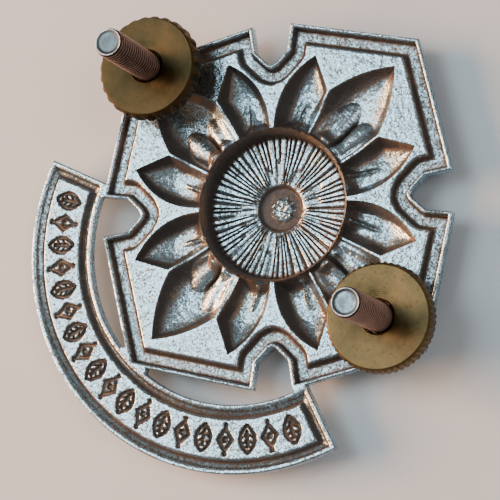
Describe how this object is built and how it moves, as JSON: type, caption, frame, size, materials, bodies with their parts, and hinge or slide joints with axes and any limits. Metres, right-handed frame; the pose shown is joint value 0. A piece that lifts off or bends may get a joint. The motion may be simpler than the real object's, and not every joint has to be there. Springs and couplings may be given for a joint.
{
  "type": "cap badge",
  "caption": "Struck metal cap badge with a hollow flower, notched plate and arched scroll, held by screw posts and round knurled nuts.",
  "frame": {"origin": "centre of the flower, on the face's lowest point, where the badge rests face down", "axes": "+Z out of the badge's back along the screw posts, +Y towards the badge's top as worn, +X to the right as the back is seen"},
  "size_m": [0.0466, 0.0502, 0.0168],
  "materials": {
    "nickel_silver": "bright struck nickel silver with a finely pebbled field and darkened hollows",
    "solder": "dull grey soft solder",
    "copper_alloy": "plated copper-alloy thread, worn to copper on the crests, with a bright tip",
    "brass": "dull olive-brown brass with a straight-knurled edge"
  },
  "bodies": {
    "badge": {"struck_badge": "nickel_silver", "left_solder": "solder", "right_solder": "solder", "left_screw_post": "copper_alloy", "right_screw_post": "copper_alloy"},
    "left_nut_body": {"left_nut": "brass"},
    "right_nut_body": {"right_nut": "brass"}
  },
  "joints": [
    {"name": "left_nut_travel", "type": "slide", "parent": "badge", "child": "left_nut_body", "axis": [0, 0, 1], "range_m": [-0.0011, 0.0108]},
    {"name": "right_nut_travel", "type": "slide", "parent": "badge", "child": "right_nut_body", "axis": [0, 0, 1], "range_m": [-0.0003, 0.0116]}
  ]
}
